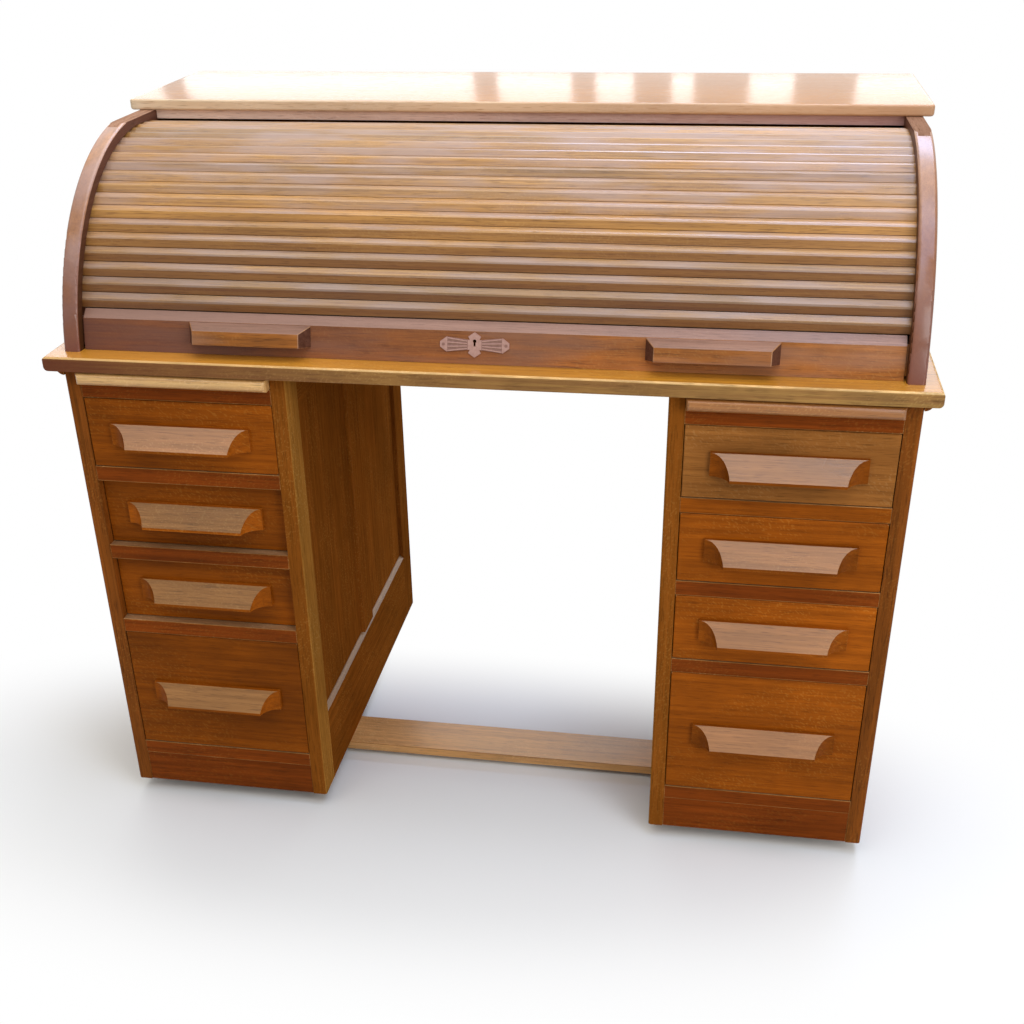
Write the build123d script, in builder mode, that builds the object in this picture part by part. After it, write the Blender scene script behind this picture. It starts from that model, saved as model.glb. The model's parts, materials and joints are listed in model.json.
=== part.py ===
from build123d import *
import os
from math import asin, atan, cos, degrees, radians, sin, sqrt, tan

# Roll top desk in oak: two drawer pedestals, a fixed desk top and a tambour roll over it.
# Millimetres. +Z is up, the drawers face -Y and +X is to the sitter's right. The origin is
# on the floor, under the middle of the desk's outline.

# Pedestals, from the floor up
FOOT_H = 25.0
FOOT_W = 40.0
FOOT_INSET = 14.0
FOOT_SETBACK = 70.0
PLINTH_H = 56.0
PLINTH_T = 20.0
PLINTH_SETBACK = 1.5
RAIL_H = 23.0
RAIL_D = 60.0
DEEP_OPENING_H = 210.0
SHALLOW_OPENING_H = 107.0
SHALLOW_COUNT = 3
SLIDE_SLOT_H = 21.0
KNEEHOLE_W = 528.0
PEDESTAL_W = 326.0
CASE_D = 645.0
CASE_BACK_T = 10.0

# Framed sides of the pedestals
SIDE_T = 22.0
FRONT_STILE_W = 48.0
STILE_ROUND = 4.0
BACK_STILE_W = 56.0
MUNTIN_W = 56.0
BOTTOM_RAIL_H = 139.0
TOP_RAIL_H = 60.0
SIDE_PANEL_T = 8.0
SIDE_PANEL_RECESS = 7.0
FRAME_BEVEL = 6.0
RUNNER_W = 14.0

# Stretcher board between the pedestals
STRETCHER_FRONT = 150.0
STRETCHER_W = 79.0
STRETCHER_T = 16.0
STRETCHER_EASE = 2.0

# Desk top
TOP_T = 20.0
TOP_SIDE_OVERHANG = 20.0
TOP_FRONT_OVERHANG = 18.0
TOP_BACK_OVERHANG = 18.0
TOP_ROUND = 4.5
TOP_END_ROUND = 6.0
MOULDING = 12.0

# Drawers
DRAWER_FRONT_T = 20.0
DRAWER_FRONT_GAP = 1.2
DRAWER_FRONT_EASE = 1.0
DRAWER_BACK_ROOM = 22.0
DRAWER_SIDE_T = 12.0
DRAWER_SIDE_PLAY = 1.5
DRAWER_BASE_T = 6.0
DRAWER_BASE_RAISE = 8.0
DRAWER_HEAD_ROOM = 9.0
RUN_GAP = 0.3
PUSHED_IN = 13.0
PUSHED_IN_DRAWERS = ("left_drawer_2", "left_drawer_3")

# Wooden pull on each drawer front: a block with a sloping face and coved ends
PULL_L = 208.0
PULL_H = 34.0
PULL_OUT = 28.0
PULL_TOP_OUT = 6.0
PULL_LIP_H = 4.0
PULL_LIP_T = 9.0
PULL_HOLLOW_L = 121.0
PULL_HOLLOW_H = 12.0
PULL_HOLLOW_D = 13.0

# Writing slide over each pedestal
SLIDE_T = 18.0
SLIDE_PLAY = 1.0
SLIDE_L = 430.0
NOSING_D = 28.0
NOSING_ROUND = 8.0

# Tambour: slats and a lift rail that run in a round groove
TRACK_DEPTH = 323.0
TRACK_DROP = 46.0
SLAT_R = 301.0
SLAT_T = 10.0
SLAT_BEVEL = 5.0
SLAT_CREST_W = 3.0
SLAT_PITCH = 22.0
SLAT_COUNT = 20
SLAT_GAP = 0.4
GROOVE_D = 9.0
GROOVE_PLAY = 0.4
GROOVE_END_PLAY = 1.0
CANVAS_T = 0.8
CANVAS_GAP = 0.1
CANVAS_EDGE = 3.0
LIFT_RAIL_H = 56.0
LIFT_RAIL_MID = 25.0
LIFT_RAIL_T = 20.0
LIFT_RAIL_PROUD = 3.0
LIFT_RAIL_END_GAP = 3.0
LIFT_RAIL_REST = 0.3
LIFT_RAIL_CHAMFER_H = 13.0
LIFT_RAIL_CHAMFER_T = 9.0
TONGUE_H = 40.0
TONGUE_T = 6.0

# Two pulls on the lift rail: bars with bevelled ends and a hollow underside
LIFT_PULL_X = 317.0
LIFT_PULL_L = 176.0
LIFT_PULL_H = 29.5
LIFT_PULL_OUT = 22.0
LIFT_PULL_TOP = 17.5
LIFT_PULL_SLOPE = 10.5
LIFT_PULL_END_BEVEL = 12.0
LIFT_PULL_LIP_T = 9.0
LIFT_PULL_HOLLOW_L = 121.0
LIFT_PULL_HOLLOW_H = 13.0

# Lock in the lift rail, its escutcheon and the strike plate in the desk top
KEYHOLE_UP = 5.0
KEYHOLE_R = 2.4
KEYHOLE_SLOT_W = 2.6
KEYHOLE_SLOT_L = 7.0
PLATE_T = 1.6
PLATE_HALF_L = 47.5
PLATE_HALF_H = 17.0
WING_HALF_H = 10.0
WING_X = 38.5
WAIST_X = 6.5
WAIST_HALF_H = 6.5
SHOULDER_X = 8.8
SHOULDER_UP = 11.0
TIP_HALF_H = 3.5
RIB_W = 1.5
RIB_H = 0.8
PIN_X = 43.0
PIN_R = 1.0
PIN_HEAD_R = 2.0
PIN_HEAD_T = 1.2
PIN_L = 10.0
PIN_PLAY = 0.05
LOCK_W = 64.0
LOCK_H = 34.0
LOCK_T = 14.0
BOLT_W = 28.0
BOLT_T = 5.0
BOLT_UP = 14.0
BOLT_DOWN = 17.5
BOLT_PLAY = 0.5
STRIKE_W = 52.0
STRIKE_D = 24.0
STRIKE_T = 2.0
STRIKE_PLAY = 0.1
STRIKE_SLOT_W = 32.0
STRIKE_SLOT_D = 14.0
STRIKE_SLOT_DEEP = 12.0

# Roll section: end panels, top board, fascia and back
ROLL_INSET = 1.0
END_T = 24.0
EDGE_LIP = 16.0
END_ROUND = 4.5
CROWN_ROOM = 10.0
TOP_BOARD_SETBACK = 55.0
TOP_BOARD_BACK_OVER = 20.0
TOP_BOARD_T = 16.0
TOP_BOARD_OVER = 15.0
TOP_BOARD_ROUND = 3.0
TOP_BOARD_UNDER_ROUND = 4.0
TOP_BOARD_CORNER = 6.0
FASCIA_SETBACK = 8.0
FASCIA_T = 12.0
FASCIA_GAP = 3.0
ROLL_BACK_T = 10.0

# Pigeonholes on the desk top, inside the roll
GALLERY_FRONT = 318.0
GALLERY_H = 160.0
GALLERY_BOARD_T = 10.0
GALLERY_BACK_T = 6.0
GALLERY_DIVIDER_T = 8.0
GALLERY_DIVIDER_SETBACK = 6.0
GALLERY_HOLES = 6
GALLERY_CLEAR = 4.0

# Heights and depths that follow from the sizes above
TOP_BACK = CASE_D + TOP_BACK_OVERHANG
TOP_BOARD_FRONT = TRACK_DEPTH + TOP_BOARD_SETBACK
TOP_BOARD_BACK = TOP_BACK + TOP_BOARD_BACK_OVER
FRONT = (PULL_OUT - TOP_BOARD_BACK) / 2
DRAWER_D = CASE_D - CASE_BACK_T - PUSHED_IN - DRAWER_BACK_ROOM
INNER_X = KNEEHOLE_W / 2
OUTER_X = INNER_X + PEDESTAL_W
OPENING_LOW_X = INNER_X + SIDE_T
OPENING_HIGH_X = OUTER_X - SIDE_T
OPENINGS_UP = [DEEP_OPENING_H] + [SHALLOW_OPENING_H] * SHALLOW_COUNT
RAIL_Z = [FOOT_H + PLINTH_H]
for opening_h in OPENINGS_UP:
    RAIL_Z.append(RAIL_Z[-1] + RAIL_H + opening_h)
CASE_TOP = RAIL_Z[-1] + RAIL_H + SLIDE_SLOT_H
SURFACE_Z = CASE_TOP + TOP_T
ROLL_OUT_X = OUTER_X - ROLL_INSET
ROLL_IN_X = ROLL_OUT_X - END_T
TRACK_Z = SURFACE_Z - TRACK_DROP
END_TOP = TRACK_Z + SLAT_R + CROWN_ROOM
PANEL_R = SLAT_R + EDGE_LIP
SLAT_BACK_R = SLAT_R - SLAT_T
RAIL_FACE_R = SLAT_R + LIFT_RAIL_PROUD
RAIL_BACK_R = RAIL_FACE_R - LIFT_RAIL_T
RAIL_LOW_ANGLE = degrees(asin((TRACK_DROP + LIFT_RAIL_REST) / SLAT_R))
RAIL_ANGLE = RAIL_LOW_ANGLE + degrees(LIFT_RAIL_MID / SLAT_R)
RAIL_TOP = LIFT_RAIL_H - LIFT_RAIL_MID
PITCH_ANGLE = degrees(SLAT_PITCH / SLAT_R)
SLAT_HALF_W = SLAT_BACK_R * tan(radians(PITCH_ANGLE / 2)) - SLAT_GAP / 2
FIRST_EDGE_ANGLE = RAIL_ANGLE + degrees(atan(RAIL_TOP / RAIL_BACK_R))
LAST_EDGE_ANGLE = FIRST_EDGE_ANGLE + PITCH_ANGLE * SLAT_COUNT


def y_at(depth):
    """Y of a place that lies so far behind the pedestals' front plane."""
    return FRONT + depth


TRACK = (y_at(TRACK_DEPTH), TRACK_Z)
SIDES = (("left", -1), ("right", 1))


def board(x, y, z):
    """Squared board between two X, two Y and two Z values."""
    with BuildPart() as piece:
        with BuildSketch(Plane.XY.offset(min(z))):
            with Locations((sum(x) / 2, sum(y) / 2)):
                Rectangle(abs(x[1] - x[0]), abs(y[1] - y[0]))
        extrude(amount=abs(z[1] - z[0]))
    return piece.part


def keep(name, *pieces):
    """Label one node's pieces and write them as one file."""
    node = pieces[0] if len(pieces) == 1 else Compound(label=name, children=list(pieces))
    node.label = name
    export_step(node, f"parts/{name}.step")


def radial(angle):
    """Unit vector from the track's centre out to the curtain, so far up from its front."""
    return Vector(0, -cos(radians(angle)), sin(radians(angle)))


def section_plane(angle, x):
    """Plane across the curtain there: local X runs up along it, local Y outwards."""
    along = Vector(0, sin(radians(angle)), cos(radians(angle)))
    return Plane(origin=(x, *TRACK), x_dir=along, z_dir=(1, 0, 0))


def face_plane(radius):
    """Plane on the lift rail's face or back: local X is the desk's X, local Y up the rail."""
    centre = Vector(0, *TRACK) + radial(RAIL_ANGLE) * radius
    return Plane(origin=centre, x_dir=(1, 0, 0), z_dir=radial(RAIL_ANGLE))


os.makedirs("parts", exist_ok=True)

# Pedestals
for side, s in SIDES:
    opening = (s * OPENING_LOW_X, s * OPENING_HIGH_X)
    panel_z = (FOOT_H + BOTTOM_RAIL_H, CASE_TOP - TOP_RAIL_H)
    field_y = (y_at(FRONT_STILE_W), y_at(CASE_D - BACK_STILE_W))
    muntin_y = (sum(field_y) / 2 - MUNTIN_W / 2, sum(field_y) / 2 + MUNTIN_W / 2)
    panels = []

    for place, show_x, inward in (("outer", s * OUTER_X, -s), ("inner", s * INNER_X, s)):
        frame_x = (show_x, show_x + inward * SIDE_T)
        panel_x = (show_x + inward * SIDE_PANEL_RECESS,
                   show_x + inward * (SIDE_PANEL_RECESS + SIDE_PANEL_T))
        with BuildPart() as front_stile:
            add(board(frame_x, (y_at(0), field_y[0]), (FOOT_H, CASE_TOP)))
            front_edges = front_stile.edges().filter_by(Axis.Z).group_by(Axis.Y)[0]
            fillet(front_edges.sort_by(lambda e: abs(e.center().X - show_x))[0], radius=STILE_ROUND)
        with BuildPart() as bottom_rail:
            add(board(frame_x, field_y, (FOOT_H, panel_z[0])))
            upper_edges = bottom_rail.edges().filter_by(Axis.Y).group_by(Axis.Z)[-1]
            show_edge = upper_edges.sort_by(lambda e: abs(e.center().X - show_x))[0]
            chamfer(show_edge, length=FRAME_BEVEL)
        keep(f"{side}_{place}_side_frame",
             front_stile.part,
             board(frame_x, (field_y[1], y_at(CASE_D)), (FOOT_H, CASE_TOP)),
             bottom_rail.part,
             board(frame_x, field_y, (panel_z[1], CASE_TOP)),
             board(frame_x, muntin_y, panel_z))
        for panel_y in ((field_y[0], muntin_y[0]), (muntin_y[1], field_y[1])):
            panels.append(board(panel_x, panel_y, panel_z))
    keep(f"{side}_side_panels", *panels)

    case_back_y = (y_at(CASE_D - CASE_BACK_T), y_at(CASE_D))
    keep(f"{side}_case_back", board(opening, case_back_y, (FOOT_H, CASE_TOP)))

    plinth_y = (y_at(PLINTH_SETBACK), y_at(PLINTH_SETBACK + PLINTH_T))
    front_rails = [board(opening, plinth_y, (FOOT_H, RAIL_Z[0]))]
    runners = []
    for rail_z in RAIL_Z:
        front_rails.append(board(opening, (y_at(0), y_at(RAIL_D)), (rail_z, rail_z + RAIL_H)))
        for wall_x, inward in ((opening[0], s), (opening[1], -s)):
            runners.append(board((wall_x, wall_x + inward * RUNNER_W),
                                 (y_at(RAIL_D), case_back_y[0]), (rail_z, rail_z + RAIL_H)))
    keep(f"{side}_front_rails", *front_rails)
    keep(f"{side}_drawer_runners", *runners)

# Feet under the corners of both pedestals
feet = []
for side, s in SIDES:
    for foot_x in (INNER_X + FOOT_INSET, OUTER_X - FOOT_INSET - FOOT_W):
        for foot_y in (y_at(FOOT_SETBACK), y_at(CASE_D - FOOT_SETBACK - FOOT_W)):
            feet.append(board((s * foot_x, s * (foot_x + FOOT_W)), (foot_y, foot_y + FOOT_W),
                              (0, FOOT_H)))
keep("feet", *feet)

# Stretcher, fixed under both inner sides
with BuildPart() as stretcher:
    add(board((-OPENING_LOW_X, OPENING_LOW_X),
              (y_at(STRETCHER_FRONT), y_at(STRETCHER_FRONT + STRETCHER_W)),
              (FOOT_H - STRETCHER_T, FOOT_H)))
    chamfer(stretcher.edges().filter_by(Axis.X).group_by(Axis.Z)[0], length=STRETCHER_EASE)
keep("stretcher", stretcher.part)

# Desk top, with the strike plate's pocket and the bolt's mortise
strike_n = RAIL_BACK_R - LOCK_T / 2
strike_depth = TRACK_DEPTH - sqrt(strike_n**2 - TRACK_DROP**2)
strike_y = (y_at(strike_depth - STRIKE_D / 2), y_at(strike_depth + STRIKE_D / 2))
top_half_w = OUTER_X + TOP_SIDE_OVERHANG
with BuildPart() as desk_top:
    add(board((-top_half_w, top_half_w), (y_at(-TOP_FRONT_OVERHANG), y_at(TOP_BACK)),
              (CASE_TOP, SURFACE_Z)))
    rim = desk_top.faces().sort_by(Axis.Z)[-1].edges()
    fillet(rim.sort_by(Axis.Y)[:-1], radius=TOP_ROUND)
    fillet(desk_top.faces().sort_by(Axis.Z)[0].edges().filter_by(Axis.Y), radius=TOP_END_ROUND)
    with BuildSketch(Plane.XY.offset(SURFACE_Z)):
        with Locations((0, sum(strike_y) / 2)):
            Rectangle(STRIKE_W + 2 * STRIKE_PLAY, STRIKE_D + 2 * STRIKE_PLAY)
    extrude(amount=-STRIKE_T, mode=Mode.SUBTRACT)
    with BuildSketch(Plane.XY.offset(SURFACE_Z)):
        with Locations((0, sum(strike_y) / 2)):
            Rectangle(STRIKE_SLOT_W, STRIKE_SLOT_D)
    extrude(amount=-STRIKE_SLOT_DEEP, mode=Mode.SUBTRACT)
keep("desk_top", desk_top.part)

with BuildPart() as strike_plate:
    with BuildSketch(Plane.XY.offset(SURFACE_Z)):
        with Locations((0, sum(strike_y) / 2)):
            Rectangle(STRIKE_W, STRIKE_D)
            Rectangle(STRIKE_SLOT_W, STRIKE_SLOT_D, mode=Mode.SUBTRACT)
    extrude(amount=-STRIKE_T)
keep("strike_plate", strike_plate.part)

# Cove mouldings under the desk top's side overhangs
mouldings = []
for side, s in SIDES:
    with BuildPart() as moulding:
        with BuildSketch(Plane.XZ.offset(-y_at(CASE_D))):
            with BuildLine():
                wall_foot = (s * OUTER_X, CASE_TOP - MOULDING)
                wall_head = (s * OUTER_X, CASE_TOP)
                lip = (s * (OUTER_X + MOULDING), CASE_TOP)
                Polyline(wall_foot, wall_head, lip)
                RadiusArc(lip, wall_foot, s * MOULDING)
            make_face()
        extrude(amount=CASE_D)
    mouldings.append(moulding.part)
keep("top_mouldings", *mouldings)

# Drawers, numbered from the top down
for side, s in SIDES:
    for number in range(1, len(OPENINGS_UP) + 1):
        name = f"{side}_drawer_{number}"
        level = len(OPENINGS_UP) - number
        low_z = RAIL_Z[level] + RAIL_H
        high_z = low_z + OPENINGS_UP[level]
        centre_x = s * (OPENING_LOW_X + OPENING_HIGH_X) / 2
        half_w = (OPENING_HIGH_X - OPENING_LOW_X) / 2
        setback = PUSHED_IN if name in PUSHED_IN_DRAWERS else 0.0
        face_y = y_at(setback)
        front_y = face_y + DRAWER_FRONT_T
        front_half_w = half_w - DRAWER_FRONT_GAP

        with BuildPart() as drawer_front:
            add(board((centre_x - front_half_w, centre_x + front_half_w), (face_y, front_y),
                      (low_z + DRAWER_FRONT_GAP, high_z - DRAWER_FRONT_GAP)))
            chamfer(drawer_front.faces().sort_by(Axis.Y)[0].edges(), length=DRAWER_FRONT_EASE)
        keep(f"{name}_front", drawer_front.part)

        side_low = low_z + RUN_GAP
        side_high = high_z - DRAWER_HEAD_ROOM
        box_half_w = half_w - DRAWER_SIDE_PLAY
        inside_half_w = box_half_w - DRAWER_SIDE_T
        box_y = (front_y, face_y + DRAWER_D)
        back_y = (box_y[1] - DRAWER_SIDE_T, box_y[1])
        base_z = side_low + DRAWER_BASE_RAISE
        inside_x = (centre_x - inside_half_w, centre_x + inside_half_w)
        keep(f"{name}_box",
             board((centre_x - box_half_w, inside_x[0]), box_y, (side_low, side_high)),
             board((inside_x[1], centre_x + box_half_w), box_y, (side_low, side_high)),
             board(inside_x, back_y, (base_z + DRAWER_BASE_T, side_high)),
             board(inside_x, box_y, (base_z, base_z + DRAWER_BASE_T)))

        pull_z = (low_z + high_z - PULL_H) / 2
        cove_r = PULL_OUT
        with BuildPart() as pull:
            with BuildSketch(Plane.YZ.offset(centre_x - PULL_L / 2)):
                Polygon((face_y, pull_z + PULL_H),
                        (face_y - PULL_TOP_OUT, pull_z + PULL_H),
                        (face_y - PULL_OUT, pull_z + PULL_LIP_H),
                        (face_y - PULL_OUT, pull_z),
                        (face_y, pull_z), align=None)
            extrude(amount=PULL_L)
            with BuildSketch(Plane.XY.offset(pull_z)):
                with Locations((centre_x - PULL_L / 2, face_y - PULL_TOP_OUT - cove_r),
                               (centre_x + PULL_L / 2, face_y - PULL_TOP_OUT - cove_r)):
                    Circle(cove_r)
            extrude(amount=PULL_H, mode=Mode.SUBTRACT)
            with BuildSketch(Plane.YZ.offset(centre_x - PULL_HOLLOW_L / 2)):
                Polygon((face_y, pull_z), (face_y - PULL_OUT + PULL_LIP_T, pull_z),
                        (face_y - PULL_HOLLOW_D, pull_z + PULL_HOLLOW_H),
                        (face_y, pull_z + PULL_HOLLOW_H), align=None)
            extrude(amount=PULL_HOLLOW_L, mode=Mode.SUBTRACT)
        keep(f"{name}_pull", pull.part)

# Writing slides, each a board with a rounded nosing
slide_z = RAIL_Z[-1] + RAIL_H + RUN_GAP
for side, s in SIDES:
    slide_x = (s * (OPENING_LOW_X + SLIDE_PLAY), s * (OPENING_HIGH_X - SLIDE_PLAY))
    nosing_y = (y_at(-TOP_FRONT_OVERHANG), y_at(NOSING_D - TOP_FRONT_OVERHANG))
    with BuildPart() as nosing:
        add(board(slide_x, nosing_y, (slide_z, slide_z + SLIDE_T)))
        fillet(nosing.faces().sort_by(Axis.Y)[0].edges(), radius=NOSING_ROUND)
    keep(f"{side}_slide_nosing", nosing.part)
    keep(f"{side}_slide_board",
         board(slide_x, (nosing_y[1], nosing_y[1] + SLIDE_L), (slide_z, slide_z + SLIDE_T)))

# Roll section's end panels, with the round groove that the curtain runs in
foot_angle = degrees(asin(TRACK_DROP / PANEL_R))
crown_angle = degrees(asin((END_TOP - TRACK_Z) / PANEL_R))
for side, s in SIDES:
    with BuildPart() as end_panel:
        with BuildSketch(Plane.YZ.offset(s * ROLL_IN_X)):
            with BuildLine():
                rise = CenterArc(TRACK, PANEL_R, 180 - foot_angle, foot_angle - crown_angle)
                Polyline(rise @ 1, (y_at(TOP_BACK), END_TOP), (y_at(TOP_BACK), SURFACE_Z), rise @ 0)
            make_face()
        extrude(amount=s * END_T)
        front_edges = end_panel.edges().filter_by(GeomType.CIRCLE)
        fillet(front_edges, radius=END_ROUND)
        with BuildSketch(Plane.YZ.offset(s * ROLL_IN_X)):
            with Locations(TRACK):
                Circle(SLAT_R + GROOVE_PLAY)
                Circle(SLAT_BACK_R - GROOVE_PLAY, mode=Mode.SUBTRACT)
        extrude(amount=s * GROOVE_D, mode=Mode.SUBTRACT)
    keep(f"{side}_end_panel", end_panel.part)

board_half_w = ROLL_OUT_X + TOP_BOARD_OVER
with BuildPart() as top_board:
    add(board((-board_half_w, board_half_w), (y_at(TOP_BOARD_FRONT), y_at(TOP_BOARD_BACK)),
              (END_TOP, END_TOP + TOP_BOARD_T)))
    fillet(top_board.edges().filter_by(Axis.Z), radius=TOP_BOARD_CORNER)
    fillet(top_board.faces().sort_by(Axis.Z)[-1].edges(), radius=TOP_BOARD_ROUND)
    fillet(top_board.faces().sort_by(Axis.Z)[0].edges(), radius=TOP_BOARD_UNDER_ROUND)
keep("top_board", top_board.part)

fascia_depth = TOP_BOARD_FRONT + FASCIA_SETBACK
curtain_under_fascia = TRACK_Z + sqrt(SLAT_R**2 - (fascia_depth - TRACK_DEPTH)**2)
keep("fascia", board((-ROLL_IN_X, ROLL_IN_X), (y_at(fascia_depth), y_at(fascia_depth + FASCIA_T)),
                     (curtain_under_fascia + FASCIA_GAP, END_TOP)))
keep("roll_back", board((-ROLL_IN_X, ROLL_IN_X), (y_at(TOP_BACK - ROLL_BACK_T), y_at(TOP_BACK)),
                        (SURFACE_Z, END_TOP)))

# Pigeonholes: a case that stays inside the curtain's path, and its dividers
gallery_top = SURFACE_Z + GALLERY_H
gallery_reach = sqrt((SLAT_BACK_R - CANVAS_T - GALLERY_CLEAR)**2 - (gallery_top - TRACK_Z)**2)
gallery_y = (y_at(GALLERY_FRONT), y_at(TRACK_DEPTH + gallery_reach))
inside_z = (SURFACE_Z, gallery_top - GALLERY_BOARD_T)
inside_half_w = ROLL_IN_X - GALLERY_BOARD_T
gallery_back_y = (gallery_y[1] - GALLERY_BACK_T, gallery_y[1])
keep("pigeonhole_case",
     board((-ROLL_IN_X, -inside_half_w), gallery_y, inside_z),
     board((inside_half_w, ROLL_IN_X), gallery_y, inside_z),
     board((-ROLL_IN_X, ROLL_IN_X), gallery_y, (inside_z[1], gallery_top)),
     board((-inside_half_w, inside_half_w), gallery_back_y, inside_z))
dividers = []
hole_pitch = (2 * inside_half_w + GALLERY_DIVIDER_T) / GALLERY_HOLES
for number in range(1, GALLERY_HOLES):
    divider_x = -inside_half_w + number * hole_pitch - GALLERY_DIVIDER_T
    dividers.append(board((divider_x, divider_x + GALLERY_DIVIDER_T),
                          (gallery_y[0] + GALLERY_DIVIDER_SETBACK, gallery_back_y[0]), inside_z))
keep("pigeonhole_dividers", *dividers)

# Tambour slats, each flat behind and bevelled to a narrow crest in front
slat_half_l = ROLL_IN_X + GROOVE_D - GROOVE_END_PLAY
shoulder_r = SLAT_R - SLAT_BEVEL
crest_half_w = SLAT_CREST_W / 2
slats = []
for number in range(SLAT_COUNT):
    slat_angle = FIRST_EDGE_ANGLE + PITCH_ANGLE * (number + 0.5)
    with BuildPart() as slat:
        with BuildSketch(section_plane(slat_angle, -slat_half_l)):
            Polygon((crest_half_w, SLAT_R), (SLAT_HALF_W, shoulder_r), (SLAT_HALF_W, SLAT_BACK_R),
                    (-SLAT_HALF_W, SLAT_BACK_R), (-SLAT_HALF_W, shoulder_r),
                    (-crest_half_w, SLAT_R), align=None)
        extrude(amount=2 * slat_half_l)
    slats.append(slat.part)
keep("tambour_slats", *slats)

# Canvas glued behind the slats
canvas_r = SLAT_BACK_R - CANVAS_GAP
canvas_half_l = ROLL_IN_X - CANVAS_EDGE
with BuildPart() as canvas:
    with BuildSketch(Plane.YZ.offset(-canvas_half_l)):
        with BuildLine():
            sweep_angle = FIRST_EDGE_ANGLE - LAST_EDGE_ANGLE
            outside = CenterArc(TRACK, canvas_r, 180 - FIRST_EDGE_ANGLE, sweep_angle)
            inside = CenterArc(TRACK, canvas_r - CANVAS_T, 180 - FIRST_EDGE_ANGLE, sweep_angle)
            Line(outside @ 0, inside @ 0)
            Line(outside @ 1, inside @ 1)
        make_face()
    extrude(amount=2 * canvas_half_l)
keep("tambour_canvas", canvas.part)

# Lift rail, with a tongue at each end for the groove and holes for the key and the pins
rail_half_l = ROLL_IN_X - LIFT_RAIL_END_GAP
chamfer_r = RAIL_FACE_R - LIFT_RAIL_CHAMFER_T
tongue_r = (SLAT_R + SLAT_BACK_R) / 2
with BuildPart() as lift_rail:
    with BuildSketch(section_plane(RAIL_ANGLE, -rail_half_l)):
        Polygon((-LIFT_RAIL_H, RAIL_BACK_R), (RAIL_TOP, RAIL_BACK_R), (RAIL_TOP, chamfer_r),
                (RAIL_TOP - LIFT_RAIL_CHAMFER_H, RAIL_FACE_R), (-LIFT_RAIL_H, RAIL_FACE_R),
                align=None)
    extrude(amount=2 * rail_half_l)
    with BuildSketch(section_plane(RAIL_ANGLE, -slat_half_l)):
        with Locations((0, tongue_r)):
            Rectangle(TONGUE_H, TONGUE_T)
    extrude(amount=2 * slat_half_l)
    split(bisect_by=Plane.XY.offset(SURFACE_Z + LIFT_RAIL_REST), keep=Keep.TOP)
    with BuildSketch(face_plane(RAIL_FACE_R)):
        with Locations((0, KEYHOLE_UP)):
            Circle(KEYHOLE_R)
        with Locations((0, KEYHOLE_UP - KEYHOLE_SLOT_L / 2)):
            Rectangle(KEYHOLE_SLOT_W, KEYHOLE_SLOT_L)
    extrude(amount=-LIFT_RAIL_T, mode=Mode.SUBTRACT)
    with BuildSketch(face_plane(RAIL_FACE_R)):
        with Locations((-PIN_X, 0), (PIN_X, 0)):
            Circle(PIN_R + PIN_PLAY)
    extrude(amount=-PIN_L, mode=Mode.SUBTRACT)
keep("lift_rail", lift_rail.part)

# Pulls on the lift rail
lift_pulls = []
pull_low = LIFT_PULL_TOP - LIFT_PULL_H
end_slope = atan(LIFT_PULL_END_BEVEL / LIFT_PULL_OUT)
for s in (-1, 1):
    with BuildPart() as lift_pull:
        with BuildSketch(section_plane(RAIL_ANGLE, s * LIFT_PULL_X - LIFT_PULL_L / 2)):
            out_r = RAIL_FACE_R + LIFT_PULL_OUT
            hollow_top = pull_low + LIFT_PULL_HOLLOW_H
            Polygon((LIFT_PULL_TOP, RAIL_FACE_R), (LIFT_PULL_TOP - LIFT_PULL_SLOPE, out_r),
                    (pull_low, out_r), (pull_low, RAIL_FACE_R), align=None)
        extrude(amount=LIFT_PULL_L)
        with BuildSketch(section_plane(RAIL_ANGLE, s * LIFT_PULL_X - LIFT_PULL_HOLLOW_L / 2)):
            lip_r = out_r - LIFT_PULL_LIP_T
            Polygon((pull_low, RAIL_FACE_R), (hollow_top, RAIL_FACE_R), (hollow_top, lip_r),
                    (pull_low, lip_r), align=None)
        extrude(amount=LIFT_PULL_HOLLOW_L, mode=Mode.SUBTRACT)
        for end in (-1, 1):
            end_foot = face_plane(RAIL_FACE_R).from_local_coords(
                Vector(s * LIFT_PULL_X + end * LIFT_PULL_L / 2, 0, 0))
            end_normal = Vector(end * cos(end_slope), 0, 0) + radial(RAIL_ANGLE) * sin(end_slope)
            split(bisect_by=Plane(origin=end_foot, z_dir=end_normal), keep=Keep.BOTTOM)
    lift_pulls.append(lift_pull.part)
keep("lift_pulls", *lift_pulls)

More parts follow.
